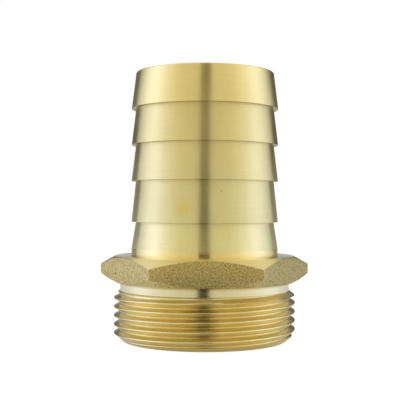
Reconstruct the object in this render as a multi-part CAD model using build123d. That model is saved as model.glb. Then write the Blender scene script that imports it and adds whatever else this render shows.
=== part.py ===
from build123d import *
import os
from math import ceil, radians, tan

# A hose tail turned from one hot stamped brass blank.
# Its axis is Z. The threaded end face stands on z = 0 and the hose goes on from above.
# Two of the hexagon's flats face -Y and +Y. Every size is in millimetres.

# Lengths along the axis, from the threaded end face upwards
thread_length = 13.1
neck_length = 2.2
hex_height = 6.75
collar_length = 1.85
lowest_barb_length = 7.0
long_barb_length = 10.7
equal_barb_length = 9.5
equal_barbs = 3

# Barbed spigot for a hose of 38 mm bore
barb_crest_dia = 38.7
barb_root_dia = 36.4
nose_edge_break = 0.2

# Hexagon, hot stamped, with its corners turned off in a cone on both faces
hex_across_flats = 47.65
hex_corner_radius = 0.4
hex_face_dia = 47.2
hex_bevel_angle = 29.0

# Parallel pipe thread 1 1/2 inch: 11 turns to the inch, 55 degree form, right hand
thread_major_dia = 47.803
thread_pitch = 25.4 / 11
thread_angle = 55.0
thread_start_angle = 74.5
end_bevel_height = 2.0
end_bevel_depth = 2.25
neck_bevel_height = 1.3
neck_dia = 44.56

# Straight bore, with a lead at each mouth
bore_dia = 32.0
threaded_mouth_lead = 0.8
hose_mouth_lead = 0.4

# Heights that follow from the lengths
hex_bottom = thread_length + neck_length
hex_top = hex_bottom + hex_height
collar_top = hex_top + collar_length
barb_lengths = [lowest_barb_length, long_barb_length] + [equal_barb_length] * equal_barbs
nose_top = collar_top + sum(barb_lengths)

# The 55 degree form: a sixth of the sharp triangle is cut off at the crest and at the root
flank_slope = radians(thread_angle / 2)
sharp_height = thread_pitch / (2 * tan(flank_slope))
thread_depth = sharp_height * 2 / 3


def turned(corners):
    """A solid of revolution about Z from the (radius, height) corners of its half section."""
    outline = Polyline(*[(radius, 0, height) for radius, height in corners], close=True)
    return revolve(make_face(outline), Axis.Z)


def thread_blank():
    """The plain stub under the hexagon: bevelled end, full diameter, bevel down to the neck."""
    major = thread_major_dia / 2
    neck = neck_dia / 2
    return turned(
        [
            (0, 0),
            (major - end_bevel_depth, 0),
            (major, end_bevel_height),
            (major, thread_length - neck_bevel_height),
            (neck, thread_length),
            (neck, hex_bottom),
            (0, hex_bottom),
        ]
    )


def groove_section():
    """The thread groove's section, with a root as wide as the crest that it leaves."""
    major = thread_major_dia / 2
    half_root = thread_pitch / 12
    overcut = 0.1
    half_mouth = half_root + (thread_depth + overcut) * tan(flank_slope)
    outline = Polyline(
        (major - thread_depth, 0, half_root),
        (major + overcut, 0, half_mouth),
        (major + overcut, 0, -half_mouth),
        (major - thread_depth, 0, -half_root),
        close=True,
    )
    return make_face(outline)


def thread_grooves():
    """The helical groove that leaves the thread standing, one solid for each turn."""
    root = thread_major_dia / 2 - thread_depth
    turn = sweep(groove_section(), Helix(thread_pitch, thread_pitch, root), is_frenet=True)
    turn = turn.rotate(Axis.Z, thread_start_angle)
    turns = ceil(thread_length / thread_pitch)
    return [Location((0, 0, n * thread_pitch)) * turn for n in range(-1, turns)]


def hexagon():
    """The spanner hexagon, its corners turned off in a cone above and below."""
    flats = RegularPolygon(hex_across_flats / 2, 6, major_radius=False)
    flats = fillet(flats.vertices(), hex_corner_radius)
    prism = extrude(Location((0, 0, hex_bottom)) * flats, hex_height)
    face = hex_face_dia / 2
    half_height = hex_height / 2
    widest = face + half_height / tan(radians(hex_bevel_angle))
    cones = turned(
        [
            (0, hex_bottom),
            (face, hex_bottom),
            (widest, hex_bottom + half_height),
            (face, hex_top),
            (0, hex_top),
        ]
    )
    return prism & cones


def barbed_spigot():
    """The collar on the hexagon and the barbs above it, each wide below and narrow above."""
    crest = barb_crest_dia / 2
    root = barb_root_dia / 2
    corners = [(0, hex_top), (crest, hex_top)]
    height = collar_top
    for length in barb_lengths:
        corners.append((crest, height))
        height += length
        corners.append((root, height))
    corners[-1] = (root, nose_top - nose_edge_break)
    corners.append((root - nose_edge_break, nose_top))
    corners.append((0, nose_top))
    return turned(corners)


def bore():
    """What is drilled out: the straight bore and the lead at each mouth."""
    wall = bore_dia / 2
    return turned(
        [
            (0, 0),
            (wall + threaded_mouth_lead, 0),
            (wall, threaded_mouth_lead),
            (wall, nose_top - hose_mouth_lead),
            (wall + hose_mouth_lead, nose_top),
            (0, nose_top),
        ]
    )


threaded_end = thread_blank() - thread_grooves()
hose_tail_body = threaded_end + hexagon() + barbed_spigot() - bore()

os.makedirs("parts", exist_ok=True)
export_step(hose_tail_body, "parts/hose_tail_body.step")
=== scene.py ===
from math import cos, pi, radians, sin, sqrt, tan

import bpy
from bpy.props import FloatProperty, FloatVectorProperty, PointerProperty
from mathutils import Euler, Matrix, Vector


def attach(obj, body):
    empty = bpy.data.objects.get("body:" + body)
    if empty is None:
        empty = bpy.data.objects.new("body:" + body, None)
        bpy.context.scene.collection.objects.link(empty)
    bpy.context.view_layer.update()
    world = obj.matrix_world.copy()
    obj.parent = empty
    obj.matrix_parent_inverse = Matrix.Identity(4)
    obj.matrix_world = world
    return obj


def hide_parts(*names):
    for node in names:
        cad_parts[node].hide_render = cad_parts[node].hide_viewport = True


bl_info = {
    "name": "Brass hose tail",
    "version": (1, 0, 0),
    "blender": (4, 5, 0),
    "location": "3D View > Sidebar > Hose tail",
    "description": "A turned and stamped brass hose tail with its thread, finishes and studio",
    "category": "Object",
}

# Everything is in metres, in the frame of the CAD model: the axis is Z, the threaded end
# stands on z = 0, and two flats of the hexagon face -Y and +Y.
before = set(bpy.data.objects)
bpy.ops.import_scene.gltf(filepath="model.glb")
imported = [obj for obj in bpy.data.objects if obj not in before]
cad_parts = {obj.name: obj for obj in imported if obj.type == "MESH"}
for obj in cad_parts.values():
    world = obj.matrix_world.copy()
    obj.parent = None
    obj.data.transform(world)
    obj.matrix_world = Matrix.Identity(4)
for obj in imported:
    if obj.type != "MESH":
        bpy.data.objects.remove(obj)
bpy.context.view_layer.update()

MM = 0.001
SEGMENTS = 256

# The places of the finishes in the piece's list of materials
(
    SATIN, BRIGHT, PALE, CUT_THREAD, STAMPED, SHOULDER, FACED, UNDERSIDE, NECK_BEVEL, BORED,
) = range(10)


def linear(hex_colour):
    """An sRGB hex colour as the linear red, green and blue that Blender works in."""
    channels = [int(hex_colour[i : i + 2], 16) / 255 for i in (1, 3, 5)]
    return tuple(
        c / 12.92 if c <= 0.04045 else ((c + 0.055) / 1.055) ** 2.4 for c in channels
    )


def length(name, description, default):
    """A length that the user can change, in metres."""
    return FloatProperty(
        name=name, description=description, default=default, min=0, unit="LENGTH", precision=5
    )


def colour(name, description, hex_colour):
    """A colour that the user can change, written as sRGB hex."""
    return FloatVectorProperty(
        name=name, description=description, default=linear(hex_colour), size=3, min=0, max=1,
        subtype="COLOR",
    )


class HoseTailSizes(bpy.types.PropertyGroup):
    """The sizes of the fitting, from its threaded end upwards."""

    thread_length: length("Thread length", "From the end face to the neck", 13.1 * MM)
    neck_length: length("Neck length", "Between the thread and the hexagon", 2.2 * MM)
    hex_height: length("Hexagon height", "Along the axis", 6.75 * MM)
    collar_length: length("Collar length", "Plain collar above the hexagon", 1.85 * MM)
    lowest_barb_length: length("Lowest barb", "Length of the barb on the collar", 7.0 * MM)
    long_barb_length: length("Long barb", "Length of the second barb", 10.7 * MM)
    equal_barb_length: length("Upper barbs", "Length of each of the three upper barbs", 9.5 * MM)
    barb_crest_dia: length("Barb crests", "Diameter over the barbs", 38.7 * MM)
    barb_root_dia: length("Barb roots", "Diameter at each barb's narrow end", 36.4 * MM)
    edge_break: length("Edge break", "How far each turned edge is taken off", 0.05 * MM)
    hex_across_flats: length("Across flats", "Width of the hexagon", 47.65 * MM)
    hex_face_dia: length("Hexagon face", "Diameter of the flat ring inside the bevel", 47.2 * MM)
    major_dia: length("Thread diameter", "Over the crests of the thread", 47.803 * MM)
    pitch: length("Thread pitch", "Along the axis, 11 turns to the inch", 25.4 / 11 * MM)
    neck_dia: length("Neck diameter", "Between the thread and the hexagon", 44.56 * MM)
    bore_dia: length("Bore", "Straight through the fitting", 32.0 * MM)


class HoseTailColours(bpy.types.PropertyGroup):
    """The colours of the brass as each process leaves it. The shoulder colour also holds painted
    shade, and the underside colour painted light.
    """

    turned: colour("Turned brass", "Satin lower barbs", "#F3EAB2")
    nose: colour("Nose brass", "Satin barbs towards the nose", "#F3E2A0")
    # The shoulder colour is painted darker and browner: painted shade under each barb's
    # overhang.
    shoulder: colour("Shoulder brass", "Undersides of the barbs", "#B49F61")
    collar: colour("Collar brass", "Bright turned collar", "#F3E3A5")
    neck: colour("Neck brass", "Pale turned neck", "#F1E8BC")
    thread: colour("Thread brass", "Freshly cut thread", "#EEDC9E")
    stamped: colour("Stamped brass", "Flats of the hexagon under a thin brown skin", "#D3C082")
    # The underside colour is painted paler: painted light on the downward-facing bevel under the
    # hexagon.
    underside: colour("Stamped underside", "Bevel under the hexagon", "#D8CFA5")
    speck: colour("Stamping specks", "Dark specks left in the flats", "#57431F")


def only(piece):
    """Leaves this piece alone selected and active, in object mode."""
    if bpy.context.mode != "OBJECT":
        bpy.ops.object.mode_set(mode="OBJECT")
    bpy.ops.object.select_all(action="DESELECT")
    piece.select_set(True)
    bpy.context.view_layer.objects.active = piece


def start_piece(name):
    """Names the primitive just added and takes its place into its mesh."""
    piece = bpy.context.object
    piece.name = name
    piece.data.name = name
    bpy.ops.object.transform_apply(location=True, rotation=True, scale=True)
    return piece


def tidy_shell(piece, gap=0.001 * MM):
    """Joins what meets and turns every face outwards."""
    only(piece)
    bpy.ops.object.mode_set(mode="EDIT")
    bpy.ops.mesh.select_all(action="SELECT")
    bpy.ops.mesh.remove_doubles(threshold=gap)
    bpy.ops.mesh.normals_make_consistent(inside=False)
    bpy.ops.object.mode_set(mode="OBJECT")


def drop_straight_points(piece, bend):
    """Takes out the points that lie between just two edges in line with each other, which
    would leave slivers in the triangles."""
    only(piece)
    points = piece.data.vertices
    neighbours = [[] for point in points]
    for edge in piece.data.edges:
        first, second = edge.vertices
        neighbours[first].append(second)
        neighbours[second].append(first)
    bpy.ops.object.mode_set(mode="EDIT")
    bpy.ops.mesh.select_mode(type="VERT")
    bpy.ops.mesh.select_all(action="DESELECT")
    bpy.ops.object.mode_set(mode="OBJECT")
    for point, near in zip(points, neighbours):
        if len(near) == 2:
            arriving = point.co - points[near[0]].co
            leaving = points[near[1]].co - point.co
            point.select = arriving.angle(leaving) < bend
    bpy.ops.object.mode_set(mode="EDIT")
    bpy.ops.mesh.dissolve_verts()
    bpy.ops.object.mode_set(mode="OBJECT")


def apply_modifier(piece, kind, **settings):
    """Adds a modifier with these settings and applies it."""
    only(piece)
    modifier = piece.modifiers.new(kind.title(), kind)
    for setting, value in settings.items():
        setattr(modifier, setting, value)
    bpy.ops.object.modifier_apply(modifier=modifier.name)


def combine(piece, other, operation):
    """Cuts, joins or trims a piece with another, which is used up."""
    apply_modifier(piece, "BOOLEAN", operation=operation, solver="EXACT", object=other)
    bpy.data.objects.remove(other)


def turned_solid(name, corners):
    """A solid turned about the axis: a filled circle extruded and scaled from corner to corner,
    each a (radius, height) of the outline from the bottom up."""
    bpy.ops.object.select_all(action="DESELECT")
    radius, height = corners[0]
    bpy.ops.mesh.primitive_circle_add(
        vertices=SEGMENTS, radius=radius, fill_type="NGON", location=(0, 0, height)
    )
    piece = start_piece(name)
    bpy.ops.object.mode_set(mode="EDIT")
    bpy.ops.mesh.select_all(action="SELECT")
    for next_radius, next_height in corners[1:]:
        rise = (0, 0, next_height - height)
        bpy.ops.mesh.extrude_region_move(TRANSFORM_OT_translate={"value": rise})
        grow = next_radius / radius
        bpy.ops.transform.resize(value=(grow, grow, 1), center_override=(0, 0, next_height))
        radius, height = next_radius, next_height
    bpy.ops.object.mode_set(mode="OBJECT")
    tidy_shell(piece)
    return piece


def heights(sizes):
    """The heights along the axis that follow from the lengths."""
    hex_bottom = sizes.thread_length + sizes.neck_length
    hex_top = hex_bottom + sizes.hex_height
    collar_top = hex_top + sizes.collar_length
    barbs = [sizes.lowest_barb_length, sizes.long_barb_length] + [sizes.equal_barb_length] * 3
    return hex_bottom, hex_top, collar_top, barbs


class HOSETAIL_OT_turned_body(bpy.types.Operator):
    """Turn the barbs, the collar and the neck from one bar"""

    bl_idname = "hose_tail.turned_body"
    bl_label = "Turned body"
    bl_options = {"REGISTER", "UNDO"}

    def execute(self, context):
        sizes = context.scene.hose_tail_sizes
        hex_bottom, hex_top, collar_top, barbs = heights(sizes)
        crest, root, neck = sizes.barb_crest_dia / 2, sizes.barb_root_dia / 2, sizes.neck_dia / 2
        overlap = 0.5 * MM
        core_length = 4 * MM
        nose_break = 0.2 * MM
        inside_thread = sizes.thread_length - overlap
        inside_hexagon = (hex_bottom + hex_top) / 2
        corners = [
            (root, inside_thread - core_length),
            (root, inside_thread),
            (neck, inside_thread),
            (neck, inside_hexagon),
            (crest, inside_hexagon),
            (crest, collar_top),
        ]
        height = collar_top
        for barb in barbs:
            height += barb
            corners += [(root, height), (crest, height)]
        corners[-2:] = [(root, height - nose_break), (root - nose_break, height)]
        body = turned_solid("hose_tail", corners)
        apply_modifier(
            body, "BEVEL", width=sizes.edge_break, segments=3, limit_method="ANGLE",
            angle_limit=radians(30), use_clamp_overlap=False,
        )
        return {"FINISHED"}


class HOSETAIL_OT_spanner_hexagon(bpy.types.Operator):
    """Stamp the hexagon, turn its corners off in a cone and join it to the body"""

    bl_idname = "hose_tail.spanner_hexagon"
    bl_label = "Spanner hexagon"
    bl_options = {"REGISTER", "UNDO"}

    def execute(self, context):
        sizes = context.scene.hose_tail_sizes
        hex_bottom, hex_top, _, _ = heights(sizes)
        middle = (hex_bottom + hex_top) / 2
        half_side = radians(30)
        corner_radius = 0.4 * MM
        edge_rounding = 0.12 * MM
        bpy.ops.object.select_all(action="DESELECT")
        bpy.ops.mesh.primitive_cylinder_add(
            vertices=6, radius=sizes.hex_across_flats / 2 / cos(half_side),
            depth=sizes.hex_height, location=(0, 0, middle), rotation=(0, 0, half_side),
        )
        hexagon = start_piece("hexagon")
        for edge in hexagon.data.edges:
            low, high = [hexagon.data.vertices[i].co.z for i in edge.vertices]
            edge.select = abs(low - high) > sizes.hex_height / 2
        for face in hexagon.data.polygons:
            face.select = False
        bpy.ops.object.mode_set(mode="EDIT")
        bpy.ops.mesh.select_mode(type="EDGE")
        bpy.ops.mesh.bevel(offset=corner_radius * tan(half_side), segments=5)
        bpy.ops.object.mode_set(mode="OBJECT")
        face_radius = sizes.hex_face_dia / 2
        bevel_slope = tan(radians(29))
        beyond = 1 * MM
        narrowest = face_radius - beyond / bevel_slope
        widest = face_radius + sizes.hex_height / 2 / bevel_slope
        cones = turned_solid(
            "corner_cones",
            [
                (narrowest, hex_bottom - beyond),
                (widest, middle),
                (narrowest, hex_top + beyond),
            ],
        )
        combine(hexagon, cones, "INTERSECT")
        tidy_shell(hexagon)
        apply_modifier(
            hexagon, "BEVEL", width=edge_rounding, segments=3, limit_method="ANGLE",
            angle_limit=radians(32),
        )
        combine(bpy.data.objects["hose_tail"], hexagon, "UNION")
        return {"FINISHED"}


def thread_outline(sizes):
    """One pitch of the thread's outline, from groove to groove, as (radius, height) pairs.
    The 55 degree flanks meet round crests and roots, of the standard's radius."""
    pitch = sizes.pitch
    points = 7
    flank = radians(27.5)
    sharp = pitch / (2 * tan(flank))
    rounding = 0.137329 * pitch
    crest_centre = sizes.major_dia / 2 - rounding
    root_centre = sizes.major_dia / 2 - sharp * 2 / 3 + rounding
    turn = [(pi / 2 - flank) * i / (points - 1) for i in range(points)]
    root = [
        (root_centre - rounding * cos(a), -pitch / 2 + rounding * sin(a)) for a in turn
    ]
    crest = [(crest_centre + rounding * cos(a), -rounding * sin(a)) for a in reversed(turn)]
    lower = root + crest
    return lower + [(radius, -height) for radius, height in reversed(lower[:-1])]


def close_end(rod, upper, half):
    """Closes one end of the rod, the one above this height or the one below it, with faces that
    meet in a point."""
    only(rod)
    bpy.ops.object.mode_set(mode="EDIT")
    bpy.ops.mesh.select_mode(type="EDGE")
    bpy.ops.mesh.select_all(action="DESELECT")
    bpy.ops.mesh.select_non_manifold(
        extend=False, use_wire=False, use_multi_face=False, use_non_contiguous=False,
        use_verts=False,
    )
    bpy.ops.object.mode_set(mode="OBJECT")
    points = rod.data.vertices
    for edge in rod.data.edges:
        lower_point = min(points[i].co.z for i in edge.vertices)
        edge.select = edge.select and (lower_point > half) == upper
    for point in points:
        point.select = False
    for edge in rod.data.edges:
        if edge.select:
            for i in edge.vertices:
                points[i].select = True
    bpy.ops.object.mode_set(mode="EDIT")
    bpy.ops.mesh.extrude_edges_move()
    bpy.ops.mesh.merge(type="CENTER")
    bpy.ops.object.mode_set(mode="OBJECT")


class HOSETAIL_OT_pipe_thread(bpy.types.Operator):
    """Wind the pipe thread, bevel its ends and join it to the body"""

    bl_idname = "hose_tail.pipe_thread"
    bl_label = "Pipe thread"
    bl_options = {"REGISTER", "UNDO"}

    def execute(self, context):
        sizes = context.scene.hose_tail_sizes
        pitch = sizes.pitch
        start_angle = radians(74.5)
        lowest_groove = -3 * pitch
        turns = 10
        outline = thread_outline(sizes)
        mesh = bpy.data.meshes.new("thread_rod")
        mesh.from_pydata(
            [
                (r * cos(start_angle), r * sin(start_angle), lowest_groove + pitch / 2 + z)
                for r, z in outline
            ],
            [(i, i + 1) for i in range(len(outline) - 1)],
            [],
        )
        rod = bpy.data.objects.new("thread_rod", mesh)
        context.collection.objects.link(rod)
        apply_modifier(
            rod, "SCREW", axis="Z", angle=2 * pi, screw_offset=pitch, steps=SEGMENTS,
            render_steps=SEGMENTS, iterations=turns, use_smooth_shade=False,
        )
        tidy_shell(rod)
        for upper in (False, True):
            close_end(rod, upper, sizes.thread_length / 2)
        tidy_shell(rod)

        overcut = 0.2 * MM
        beyond = sizes.major_dia / 2 + overcut
        end_bevel_depth, end_bevel_height = 2.25, 2.0
        end_face = sizes.major_dia / 2 - end_bevel_depth * MM
        end_slope = end_bevel_depth / end_bevel_height
        neck = sizes.neck_dia / 2
        neck_slope = 1.25
        inside = 0.4 * MM
        blank = turned_solid(
            "thread_blank",
            [
                (end_face, 0),
                (beyond, (beyond - end_face) / end_slope),
                (beyond, sizes.thread_length - (beyond - neck) / neck_slope),
                (neck - inside * neck_slope, sizes.thread_length + inside),
            ],
        )
        combine(blank, rod, "INTERSECT")
        combine(bpy.data.objects["hose_tail"], blank, "UNION")
        return {"FINISHED"}


def add_node(tree, kind, inputs=(), **settings):
    """Adds a node, gives it its settings, and gives each named input a value or a link."""
    node = tree.nodes.new(kind)
    for setting, value in settings.items():
        setattr(node, setting, value)
    for socket, value in dict(inputs).items():
        if isinstance(value, bpy.types.NodeSocket):
            tree.links.new(value, node.inputs[socket])
        else:
            node.inputs[socket].default_value = value
    return node


def new_material(name):
    """An empty node material and the coordinates of its piece in millimetres."""
    material = bpy.data.materials.new(name)
    material.use_nodes = True
    tree = material.node_tree
    tree.nodes.clear()
    place = add_node(tree, "ShaderNodeTexCoord").outputs["Object"]
    in_mm = add_node(
        tree, "ShaderNodeVectorMath", {0: place, "Scale": 1 / MM}, operation="SCALE"
    ).outputs["Vector"]
    return material, tree, in_mm


def shade_of(tree, base, factor, amount):
    """The base colour made lighter and darker by a factor from 0 to 1, by this amount in all."""
    brightness = add_node(
        tree, "ShaderNodeMapRange",
        {"Value": factor, "To Min": 1 - amount / 2, "To Max": 1 + amount / 2},
    ).outputs["Result"]
    return add_node(
        tree, "ShaderNodeVectorMath", {0: base, "Scale": brightness}, operation="SCALE"
    ).outputs["Vector"]


def darken_for_wear_or_shade(tree, base, unmarked, darkest):
    """The base colour as it is where the factor is 1, and darkened down to this share of it at
    0. It serves both wear and painted shade.
    """
    share = add_node(
        tree, "ShaderNodeMapRange", {"Value": unmarked, "To Min": darkest, "To Max": 1.0}
    ).outputs["Result"]
    return add_node(
        tree, "ShaderNodeVectorMath", {0: base, "Scale": share}, operation="SCALE"
    ).outputs["Vector"]


def turned_brass(name, base, nose, roughness, anisotropy, line_depth, lacquer=0.0, zone=""):
    """Brass cut on a lathe. The tool leaves fine lines round the axis, so a highlight is drawn
    out along the axis and stays narrow across it. The zones "barbs" and "neck" have marks and
    painted shade of their own. Lengths inside the material are in millimetres."""
    material, tree, in_mm = new_material(name)
    # The metal is yellower towards the nose.
    height = add_node(tree, "ShaderNodeSeparateXYZ", {0: in_mm}).outputs["Z"]
    towards_nose = add_node(
        tree, "ShaderNodeMapRange", {"Value": height, "From Min": 27.0, "From Max": 65.0}
    ).outputs["Result"]
    nose_tint_and_barb_shade = add_node(
        tree, "ShaderNodeMix", {"Factor": towards_nose, 6: (*base, 1), 7: (*nose, 1)},
        data_type="RGBA",
    ).outputs[2]
    if zone == "barbs":
        # Painted shade: the barbs between the first and the last are painted a little darker
        # than the end ones.
        middle_height, painted_shade_reach, unshaded_from = 45.75, 14.75, 14.95
        above_middle = add_node(
            tree, "ShaderNodeMath", {0: height, 1: middle_height}, operation="SUBTRACT"
        ).outputs[0]
        from_middle = add_node(
            tree, "ShaderNodeMath", {0: above_middle}, operation="ABSOLUTE"
        ).outputs[0]
        beyond_painted_shade = add_node(
            tree, "ShaderNodeMapRange",
            {"Value": from_middle, "From Min": painted_shade_reach, "From Max": unshaded_from},
        ).outputs["Result"]
        nose_tint_and_barb_shade = darken_for_wear_or_shade(tree, nose_tint_and_barb_shade, beyond_painted_shade, 0.925)
    # Tool lines run round the axis. The real feed of 0.1 mm is too fine to show, so they are
    # drawn 0.4 mm apart, and they fade in and out over 20 mm of the way round.
    stretched = add_node(
        tree, "ShaderNodeVectorMath", {0: in_mm, 1: (0.05, 0.05, 2.5)}, operation="MULTIPLY"
    ).outputs["Vector"]
    lines = add_node(
        tree, "ShaderNodeTexNoise",
        {"Vector": stretched, "Scale": 1.0, "Detail": 3.0, "Roughness": 0.6},
    ).outputs["Fac"]
    # Handling and the polishing cloth leave soft patches about 8 mm across.
    patches = add_node(
        tree, "ShaderNodeTexNoise", {"Vector": in_mm, "Scale": 0.12, "Detail": 2.0}
    ).outputs["Fac"]
    # The tool's chatter leaves faint streaks along the axis, 1 mm apart.
    along = add_node(
        tree, "ShaderNodeVectorMath", {0: in_mm, 1: (1.0, 1.0, 0.12)}, operation="MULTIPLY"
    ).outputs["Vector"]
    streaks = add_node(
        tree, "ShaderNodeTexNoise", {"Vector": along, "Scale": 1.0, "Detail": 2.0}
    ).outputs["Fac"]
    # A few small knocks from handling, under 1 mm across.
    knocks = add_node(
        tree, "ShaderNodeTexVoronoi", {"Vector": in_mm, "Scale": 0.16}
    ).outputs["Distance"]
    knocked = add_node(
        tree, "ShaderNodeMapRange", {"Value": knocks, "From Min": 0.03, "From Max": 0.07}
    ).outputs["Result"]
    toned = shade_of(tree, nose_tint_and_barb_shade, lines, 0.12)
    toned = shade_of(tree, toned, patches, 0.12)
    toned = shade_of(tree, toned, streaks, 0.08)
    toned = darken_for_wear_or_shade(tree, toned, knocked, 0.75)
    if zone == "barbs":
        # A yellow stain with a soft edge, about 4 mm across, on the second barb from below.
        stain_centre = (-5.8, -17.9, 34.7)
        from_stain = add_node(
            tree, "ShaderNodeVectorMath", {0: in_mm, 1: stain_centre}, operation="DISTANCE"
        ).outputs["Value"]
        stain = add_node(
            tree, "ShaderNodeMapRange", {"Value": from_stain, "From Min": 3.0, "From Max": 1.0}
        ).outputs["Result"]
        toned = add_node(
            tree, "ShaderNodeMix", {"Factor": stain, 6: toned, 7: (1.0, 0.95, 0.72, 1)},
            data_type="RGBA", blend_type="MULTIPLY",
        ).outputs[2]
    if zone == "neck":
        # Painted shade: the neck is painted browner in the corner under the hexagon's overhang.
        painted_corner_shade = add_node(
            tree, "ShaderNodeMapRange", {"Value": height, "From Min": 14.55, "From Max": 15.2}
        ).outputs["Result"]
        toned = add_node(
            tree, "ShaderNodeMix", {"Factor": painted_corner_shade, 6: toned, 7: (0.62, 0.54, 0.36, 1)},
            data_type="RGBA", blend_type="MULTIPLY",
        ).outputs[2]
    rough = add_node(
        tree, "ShaderNodeMapRange",
        {"Value": lines, "To Min": roughness - 0.05, "To Max": roughness + 0.05},
    ).outputs["Result"]
    bump = add_node(
        tree, "ShaderNodeBump", {"Strength": 0.5, "Distance": line_depth, "Height": lines}
    ).outputs["Normal"]
    # The highlight is drawn out square to the tool lines, whichever way the face looks.
    geometry = add_node(tree, "ShaderNodeNewGeometry")
    around = add_node(
        tree, "ShaderNodeVectorMath", {0: (0, 0, 1), 1: in_mm}, operation="CROSS_PRODUCT"
    ).outputs["Vector"]
    across = add_node(
        tree, "ShaderNodeVectorMath", {0: geometry.outputs["Normal"], 1: around},
        operation="CROSS_PRODUCT",
    ).outputs["Vector"]
    shader = add_node(
        tree, "ShaderNodeBsdfPrincipled",
        {
            "Base Color": toned, "Metallic": 1.0, "Roughness": rough, "Normal": bump,
            "Anisotropic": anisotropy, "Tangent": across, "Coat Weight": lacquer,
            "Coat Roughness": 0.2,
        },
    )
    add_node(tree, "ShaderNodeOutputMaterial", {"Surface": shader.outputs["BSDF"]})
    return material


def stamped_brass(name, base, speck):
    """Brass as it comes from the hot stamping die: matt, with the fine pits of the die's face
    and scale, and a thin brown skin."""
    material, tree, in_mm = new_material(name)
    # Pits and specks of the stamped skin, 0.4 mm across.
    grain = add_node(
        tree, "ShaderNodeTexNoise",
        {"Vector": in_mm, "Scale": 2.6, "Detail": 2.0, "Roughness": 0.6},
    ).outputs["Fac"]
    contrast = add_node(
        tree, "ShaderNodeMapRange", {"Value": grain, "From Min": 0.36, "From Max": 0.64}
    ).outputs["Result"]
    specks = add_node(
        tree, "ShaderNodeMapRange",
        {"Value": grain, "From Min": 0.42, "From Max": 0.32, "To Min": 0.0, "To Max": 0.6},
    ).outputs["Result"]
    # The die leaves the flats slightly uneven over 4 mm or so.
    swell = add_node(
        tree, "ShaderNodeTexNoise", {"Vector": in_mm, "Scale": 0.25, "Detail": 1.0}
    ).outputs["Fac"]
    toned = shade_of(tree, base, swell, 0.12)
    # Painted light and shade: the flats are painted lighter towards -X and darker towards +X,
    # as if lit from one side, and darker on the flats beside the front and back ones.
    across = add_node(tree, "ShaderNodeSeparateXYZ", {0: in_mm}).outputs["X"]
    painted_side_light = add_node(
        tree, "ShaderNodeMapRange", {"Value": across, "From Min": 20.0, "From Max": -20.0}
    ).outputs["Result"]
    toned = shade_of(tree, toned, painted_side_light, 0.22)
    aside = add_node(tree, "ShaderNodeMath", {0: across}, operation="ABSOLUTE").outputs[0]
    outside_painted_side_shade = add_node(
        tree, "ShaderNodeMapRange", {"Value": aside, "From Min": 15.5, "From Max": 13.0}
    ).outputs["Result"]
    toned = darken_for_wear_or_shade(tree, toned, outside_painted_side_shade, 0.88)
    toned = shade_of(tree, toned, contrast, 0.62)
    coloured = add_node(
        tree, "ShaderNodeMix", {"Factor": specks, 6: toned, 7: (*speck, 1)}, data_type="RGBA"
    ).outputs[2]
    swell_bump = add_node(
        tree, "ShaderNodeBump", {"Strength": 1.0, "Distance": 0.05 * MM, "Height": swell}
    ).outputs["Normal"]
    bump = add_node(
        tree, "ShaderNodeBump",
        {"Strength": 1.0, "Distance": 0.06 * MM, "Height": grain, "Normal": swell_bump},
    ).outputs["Normal"]
    rough = add_node(
        tree, "ShaderNodeMapRange", {"Value": grain, "To Min": 0.38, "To Max": 0.55}
    ).outputs["Result"]
    shader = add_node(
        tree, "ShaderNodeBsdfPrincipled",
        {"Base Color": coloured, "Metallic": 1.0, "Roughness": rough, "Normal": bump},
    )
    add_node(tree, "ShaderNodeOutputMaterial", {"Surface": shader.outputs["BSDF"]})
    return material


def finish_of(sizes, z, out, up):
    """The finish of a face at this height, from the mean distance of its corners from the axis
    and from its normal's part along the axis."""
    hex_bottom, hex_top, collar_top, _ = heights(sizes)
    neck = sizes.neck_dia / 2
    bore_wall = 1 * MM
    close = 0.01 * MM
    bevel_height = 1.3 * MM
    turned_foot, bevel_foot = 0.3 * MM, 0.55 * MM
    flank_up, bevel_up, sideways, underside_down, shoulder_down = 0.83, 0.7, 0.2, -0.95, -0.7
    if out < sizes.bore_dia / 2 + bore_wall:
        return BORED
    if z < sizes.thread_length + close:
        if z > sizes.thread_length - bevel_height:
            if out < neck + turned_foot:
                return PALE
            if up > flank_up or out < neck + bevel_foot and up > bevel_up:
                return NECK_BEVEL
        return CUT_THREAD
    if z < hex_bottom - close:
        return PALE
    if z < hex_top + close:
        if abs(up) < sideways:
            return STAMPED
        return UNDERSIDE if underside_down < up < 0 else FACED
    if up < shoulder_down:
        return SHOULDER
    return BRIGHT if z < collar_top else SATIN


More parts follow.
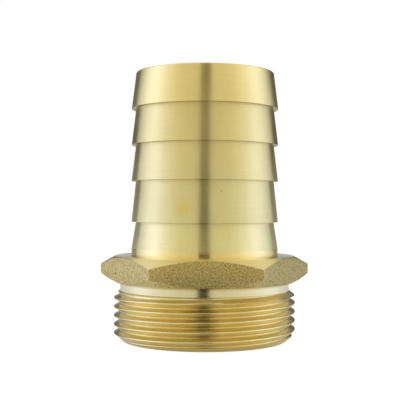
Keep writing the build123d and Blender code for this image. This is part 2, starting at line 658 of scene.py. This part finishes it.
class HOSETAIL_OT_finish(bpy.types.Operator):
    """Drill the bore, give each zone its finish and put the piece on its body"""

    bl_idname = "hose_tail.finish"
    bl_label = "Bore and finishes"
    bl_options = {"REGISTER", "UNDO"}

    def execute(self, context):
        sizes = context.scene.hose_tail_sizes
        colours = context.scene.hose_tail_colours
        body = bpy.data.objects["hose_tail"]
        _, _, collar_top, barbs = heights(sizes)
        nose_top = collar_top + sum(barbs)
        bore = sizes.bore_dia / 2
        beyond = 1 * MM
        threaded_lead = 0.8 * MM
        hose_lead = 0.4 * MM
        drill = turned_solid(
            "drill",
            [
                (bore + threaded_lead + beyond, -beyond),
                (bore, threaded_lead),
                (bore, nose_top - hose_lead),
                (bore + hose_lead + beyond, nose_top + beyond),
            ],
        )
        combine(body, drill, "DIFFERENCE")
        tidy_shell(body, gap=0.0005 * MM)
        drop_straight_points(body, bend=radians(0.7))

        turned, nose, collar = colours.turned, colours.nose, colours.collar
        neck, thread, shoulder = colours.neck, colours.thread, colours.shoulder
        fine_lines, coarse_lines = 0.004 * MM, 0.006 * MM
        # In the order of the places that are named at the top. The numbers are the roughness
        # and how far the highlight is drawn out.
        finishes = [
            turned_brass(
                "brass_turned_satin", turned, nose, 0.31, 0.98, coarse_lines, zone="barbs"
            ),
            turned_brass("brass_turned_bright", collar, collar, 0.19, 0.8, fine_lines),
            turned_brass(
                "brass_turned_pale", neck, neck, 0.22, 0.8, fine_lines, lacquer=0.6,
                zone="neck",
            ),
            turned_brass("brass_cut_thread", thread, thread, 0.25, 0.6, fine_lines),
            stamped_brass("brass_hot_stamped", colours.stamped, colours.speck),
            # The shoulder finish carries painted shade in its darker colour.
            turned_brass(
                "brass_shoulder", shoulder, shoulder, 0.28, 0.0, coarse_lines, zone="barbs"
            ),
            turned_brass("brass_turned_face", nose, nose, 0.36, 0.9, coarse_lines),
            # The underside finish carries painted light in its paler colour.
            stamped_brass("brass_stamped_underside", colours.underside, colours.speck),
            turned_brass("brass_neck_bevel", thread, thread, 0.5, 0.0, fine_lines),
            turned_brass("brass_bored", turned, nose, 0.31, 0.98, coarse_lines),
        ]
        body.data.materials.clear()
        for finish in finishes:
            body.data.materials.append(finish)
        for face in body.data.polygons:
            corners = [body.data.vertices[i].co for i in face.vertices]
            out = sum(sqrt(x * x + y * y) for x, y, _ in corners) / len(corners)
            face.material_index = finish_of(sizes, face.center.z, out, face.normal.z)
        only(body)
        bpy.ops.object.shade_smooth_by_angle(angle=radians(28))
        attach(body, "root")
        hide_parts("hose_tail_body")
        return {"FINISHED"}


def stage_plane(name, centre, size, facing):
    """A flat card of this (width, height) that faces a point. The camera doesn't see it."""
    bpy.ops.object.select_all(action="DESELECT")
    turn = (Vector(facing) - Vector(centre)).to_track_quat("Z", "Y").to_euler()
    bpy.ops.mesh.primitive_plane_add(size=1, location=centre, rotation=turn)
    card = bpy.context.object
    card.name = name
    card.scale = (*size, 1)
    bpy.ops.object.transform_apply(location=True, rotation=True, scale=True)
    card.visible_camera = False
    card.visible_diffuse = False
    card.visible_shadow = False
    return card


def glowing(name, colour_value, strength):
    """An evenly lit cloth or card."""
    material = bpy.data.materials.new(name)
    material.use_nodes = True
    tree = material.node_tree
    tree.nodes.clear()
    glow = add_node(
        tree, "ShaderNodeEmission", {"Color": (*colour_value, 1), "Strength": strength}
    )
    add_node(tree, "ShaderNodeOutputMaterial", {"Surface": glow.outputs["Emission"]})
    return material


def angle_from_camera(tree, place):
    """The angle round the axis from the camera's side, left of it below zero, in radians."""
    split = add_node(tree, "ShaderNodeSeparateXYZ", {0: place})
    minus_y = add_node(
        tree, "ShaderNodeMath", {0: split.outputs["Y"], 1: -1.0}, operation="MULTIPLY"
    ).outputs[0]
    return add_node(
        tree, "ShaderNodeMath", {0: split.outputs["X"], 1: minus_y}, operation="ARCTAN2"
    ).outputs[0]


# The tent's light by the side it comes from, in degrees round from the camera (left is below
# zero): warm cloth in front, a large cool lamp on each side, dark beyond the lamps, and a grey
# sheet straight behind.
TENT_LIGHT = [
    (-180, (0.64, 0.68, 0.82)),
    (-171, (0.54, 0.58, 0.70)),
    (-165, (0.11, 0.11, 0.11)),
    (-143, (0.11, 0.11, 0.11)),
    (-136, (0.20, 0.21, 0.22)),
    (-128, (0.60, 0.64, 0.78)),
    (-114, (0.95, 1.00, 1.27)),
    (-100, (1.29, 1.34, 1.82)),
    (-86, (1.39, 1.45, 1.96)),
    (-68, (1.06, 1.01, 0.97)),
    (-45, (0.82, 0.75, 0.52)),
    (-25, (0.73, 0.65, 0.41)),
    (-8, (0.58, 0.52, 0.33)),
    (8, (0.60, 0.54, 0.34)),
    (25, (0.74, 0.67, 0.43)),
    (45, (0.83, 0.76, 0.53)),
    (68, (1.05, 1.02, 0.92)),
    (86, (1.28, 1.31, 1.62)),
    (100, (1.13, 1.18, 1.43)),
    (114, (0.83, 0.87, 1.02)),
    (126, (0.49, 0.52, 0.55)),
    (134, (0.17, 0.18, 0.18)),
    (142, (0.09, 0.09, 0.09)),
    (165, (0.09, 0.09, 0.09)),
    (171, (0.54, 0.58, 0.70)),
    (180, (0.64, 0.68, 0.82)),
]

# The camera and the gap in the tent behind it are dark, and every turned face shows them as a
# dark line up its middle: broad below, narrow above. Two low grey flags behind the fitting draw
# the dark edges of the lower barbs. For each card: its name, its centre, its (width, height),
# the point that it faces, its colour and its strength.
WARM_FELT, GREY_FELT = (1, 0.85, 0.5), (1, 0.96, 0.88)
CARDS = (
    (
        "floor_strip", (-0.003, -0.08, 0), (0.019, 0.10), (-0.003, -0.08, 1),
        WARM_FELT, 0.05,
    ),
    (
        "lens_foot", (-0.0072, -0.13, 0.005), (0.030, 0.01), (-0.0072, 0, 0.005),
        WARM_FELT, 0.02,
    ),
    (
        "lens_flag", (-0.0035, -0.13, 0.023), (0.036, 0.026), (-0.0035, 0, 0.023),
        WARM_FELT, 0.02,
    ),
    (
        "tent_gap", (0.0032, -0.13, 0.064), (0.0098, 0.056), (0.0032, 0, 0.064),
        WARM_FELT, 0.60,
    ),
    (
        "tent_seam", (0.0012, -0.13, 0.146), (0.037, 0.108), (0.0012, 0, 0.146),
        WARM_FELT, 0.02,
    ),
    ("left_flag", (-0.056, 0.050, 0.035), (0.032, 0.032), (0, 0, 0.035), GREY_FELT, 0.25),
    ("right_flag", (0.056, 0.050, 0.035), (0.032, 0.032), (0, 0, 0.035), GREY_FELT, 0.25),
)


def share_of(tint, brightest):
    """A light's colour as a share of the brightest channel of all, with an alpha of 1."""
    return (*[channel / brightest for channel in tint], 1)


class HOSETAIL_OT_studio(bpy.types.Operator):
    """Set up the floor, the light tent, the background and the camera"""

    bl_idname = "hose_tail.studio"
    bl_label = "Studio and camera"
    bl_options = {"REGISTER", "UNDO"}

    def execute(self, context):
        self.add_floor()
        self.add_tent()
        self.add_world(context.scene)
        self.add_camera(context.scene)
        return {"FINISHED"}

    def add_floor(self):
        bpy.ops.object.select_all(action="DESELECT")
        below_end_face = 0.02 * MM
        bpy.ops.mesh.primitive_plane_add(size=6, location=(0, 0, -below_end_face))
        floor = bpy.context.object
        floor.name = "floor"
        material = bpy.data.materials.new("white_sweep")
        material.use_nodes = True
        tree = material.node_tree
        tree.nodes.clear()
        path = add_node(tree, "ShaderNodeLightPath")
        # The paper is darker close to the fitting, which keeps the tent's light from it.
        away = add_node(
            tree, "ShaderNodeVectorMath",
            {0: add_node(tree, "ShaderNodeTexCoord").outputs["Object"]}, operation="LENGTH",
        ).outputs["Value"]
        open_paper = add_node(
            tree, "ShaderNodeMapRange",
            {"Value": away, "From Min": 0.03, "From Max": 0.20, "To Min": 0.48, "To Max": 0.86},
        ).outputs["Result"]
        mirrored = add_node(
            tree, "ShaderNodeMath", {0: path.outputs["Is Glossy Ray"], 1: open_paper},
            operation="MULTIPLY",
        ).outputs[0]
        seen = add_node(
            tree, "ShaderNodeMath", {0: path.outputs["Is Camera Ray"], 1: mirrored},
            operation="MAXIMUM",
        ).outputs[0]
        paper = add_node(tree, "ShaderNodeBsdfDiffuse", {"Color": (0.35, 0.35, 0.35, 1)})
        strength = add_node(
            tree, "ShaderNodeMath", {0: seen, 1: 0.84}, operation="MULTIPLY"
        ).outputs[0]
        # Mirrored in the brass, the paper is warm in front and takes the lamps' cool light at
        # the sides and behind.
        angle = angle_from_camera(tree, add_node(tree, "ShaderNodeTexCoord").outputs["Object"])
        aside = add_node(tree, "ShaderNodeMath", {0: angle}, operation="ABSOLUTE").outputs[0]
        cool = add_node(
            tree, "ShaderNodeMapRange",
            {"Value": aside, "From Min": radians(30), "From Max": radians(100)},
        ).outputs["Result"]
        mirrored_tint = add_node(
            tree, "ShaderNodeMix",
            {"Factor": cool, 6: (0.67, 0.62, 0.52, 1), 7: (1.02, 1.09, 1.28, 1)},
            data_type="RGBA",
        ).outputs[2]
        # Behind the fitting the paper lies between the lamps and is darker.
        between_lamps = add_node(
            tree, "ShaderNodeMapRange",
            {"Value": aside, "From Min": radians(95), "From Max": radians(150)},
        ).outputs["Result"]
        mirrored_tint = add_node(
            tree, "ShaderNodeMix",
            {"Factor": between_lamps, 6: mirrored_tint, 7: (0.50, 0.50, 0.46, 1)},
            data_type="RGBA",
        ).outputs[2]
        tint = add_node(
            tree, "ShaderNodeMix",
            {"Factor": path.outputs["Is Camera Ray"], 6: mirrored_tint, 7: (1, 1, 1, 1)},
            data_type="RGBA",
        ).outputs[2]
        lift = add_node(tree, "ShaderNodeEmission", {"Color": tint, "Strength": strength})
        both = add_node(
            tree, "ShaderNodeAddShader", {0: paper.outputs["BSDF"], 1: lift.outputs["Emission"]}
        )
        add_node(tree, "ShaderNodeOutputMaterial", {"Surface": both.outputs["Shader"]})
        floor.data.materials.append(material)

    def add_tent(self):
        bpy.ops.object.select_all(action="DESELECT")
        radius, height, below_floor = 1.5, 2.4, 0.01
        bpy.ops.mesh.primitive_cylinder_add(
            vertices=96, radius=radius, depth=height, end_fill_type="NGON",
            location=(0, 0, height / 2 - below_floor),
        )
        tent = bpy.context.object
        tent.name = "light_tent"
        tent.visible_camera = False
        material = bpy.data.materials.new("tent_cloth_lit_from_outside")
        material.use_nodes = True
        tree = material.node_tree
        tree.nodes.clear()
        place = add_node(tree, "ShaderNodeTexCoord").outputs["Object"]
        angle = angle_from_camera(tree, place)
        share = add_node(
            tree, "ShaderNodeMapRange", {"Value": angle, "From Min": -pi, "From Max": pi}
        ).outputs["Result"]
        ramp = add_node(tree, "ShaderNodeValToRGB", {"Fac": share})
        brightest = max(max(tint) for _, tint in TENT_LIGHT)
        elements = ramp.color_ramp.elements
        for element, (where, tint) in zip(tuple(elements), (TENT_LIGHT[0], TENT_LIGHT[-1])):
            element.position = (where + 180) / 360
            element.color = share_of(tint, brightest)
        for where, tint in TENT_LIGHT[1:-1]:
            elements.new((where + 180) / 360).color = share_of(tint, brightest)
        # The dark parts stand at the sides of the background only up to about 1 m. Above them
        # the cloth is lit all round.
        dark_top, lit_from, upper_cloth = 0.9, 1.2, (0.85, 0.80, 0.62)
        height_up = add_node(tree, "ShaderNodeSeparateXYZ", {0: place}).outputs["Z"]
        above = add_node(
            tree, "ShaderNodeMapRange",
            {
                "Value": height_up, "From Min": dark_top - height / 2,
                "From Max": lit_from - height / 2,
            },
        ).outputs["Result"]
        cloth = add_node(
            tree, "ShaderNodeMix",
            {"Factor": above, 6: ramp.outputs["Color"], 7: share_of(upper_cloth, brightest)},
            data_type="RGBA", blend_type="LIGHTEN",
        ).outputs[2]
        glow = add_node(tree, "ShaderNodeEmission", {"Color": cloth, "Strength": brightest})
        add_node(tree, "ShaderNodeOutputMaterial", {"Surface": glow.outputs["Emission"]})
        roof = glowing("tent_roof_cloth", (1.0, 0.96, 0.88), 0.92)
        tent.data.materials.append(material)
        tent.data.materials.append(roof)
        for face in tent.data.polygons:
            face.material_index = int(abs(face.normal.z) > 0.5)
        for name, centre, size, facing, felt, strength in CARDS:
            card = stage_plane(name, centre, size, facing)
            card.data.materials.append(glowing(name + "_felt", felt, strength))

    def add_world(self, scene):
        world = bpy.data.worlds.new("white_background")
        scene.world = world
        world.use_nodes = True
        tree = world.node_tree
        tree.nodes.clear()
        path = add_node(tree, "ShaderNodeLightPath")
        glossy = add_node(
            tree, "ShaderNodeMath",
            {0: path.outputs["Is Glossy Ray"], 1: path.outputs["Is Transmission Ray"]},
            operation="MAXIMUM",
        ).outputs[0]
        seen = add_node(
            tree, "ShaderNodeMath", {0: path.outputs["Is Camera Ray"], 1: glossy},
            operation="MAXIMUM",
        ).outputs[0]
        strength = add_node(
            tree, "ShaderNodeMapRange", {"Value": seen, "To Min": 0.7, "To Max": 1.0}
        ).outputs["Result"]
        sky = add_node(
            tree, "ShaderNodeBackground", {"Color": (1, 1, 1, 1), "Strength": strength}
        )
        add_node(tree, "ShaderNodeOutputWorld", {"Surface": sky.outputs["Background"]})

    def add_camera(self, scene):
        heading = radians(-1.3)
        distance = 225 * MM
        sideways = 0.867 * MM
        up = 34.58 * MM
        roll = radians(0.2)
        ahead = Vector((-sin(heading), cos(heading), 0))
        right = Vector((cos(heading), sin(heading), 0))
        place = right * sideways - ahead * distance + Vector((0, 0, up))
        camera_data = bpy.data.cameras.new("camera")
        camera_data.sensor_width = 36
        camera_data.lens = 73.4
        camera_data.clip_start = 0.01
        camera = bpy.data.objects.new("camera", camera_data)
        scene.collection.objects.link(camera)
        turn = Euler((radians(90), 0, heading)).to_matrix() @ Matrix.Rotation(roll, 3, "Z")
        camera.matrix_world = Matrix.Translation(place) @ turn.to_4x4()
        scene.camera = camera
        scene.view_settings.view_transform = "Standard"


class HOSETAIL_PT_panel(bpy.types.Panel):
    """The hose tail's sizes, colours and steps"""

    bl_idname = "HOSETAIL_PT_panel"
    bl_label = "Hose tail"
    bl_space_type = "VIEW_3D"
    bl_region_type = "UI"
    bl_category = "Hose tail"

    def draw(self, context):
        layout = self.layout
        for group in (context.scene.hose_tail_sizes, context.scene.hose_tail_colours):
            column = layout.column(align=True)
            for name in group.bl_rna.properties.keys():
                if name not in ("rna_type", "name"):
                    column.prop(group, name)
        for step in STEPS:
            layout.operator(step.bl_idname)


STEPS = (
    HOSETAIL_OT_turned_body,
    HOSETAIL_OT_spanner_hexagon,
    HOSETAIL_OT_pipe_thread,
    HOSETAIL_OT_finish,
    HOSETAIL_OT_studio,
)
CLASSES = (HoseTailSizes, HoseTailColours, *STEPS, HOSETAIL_PT_panel)


def register():
    for each in CLASSES:
        bpy.utils.register_class(each)
    bpy.types.Scene.hose_tail_sizes = PointerProperty(type=HoseTailSizes)
    bpy.types.Scene.hose_tail_colours = PointerProperty(type=HoseTailColours)


def unregister():
    del bpy.types.Scene.hose_tail_colours
    del bpy.types.Scene.hose_tail_sizes
    for each in reversed(CLASSES):
        bpy.utils.unregister_class(each)


def main():
    register()
    bpy.ops.hose_tail.turned_body()
    bpy.ops.hose_tail.spanner_hexagon()
    bpy.ops.hose_tail.pipe_thread()
    bpy.ops.hose_tail.finish()
    bpy.ops.hose_tail.studio()


if __name__ == "__main__":
    main()
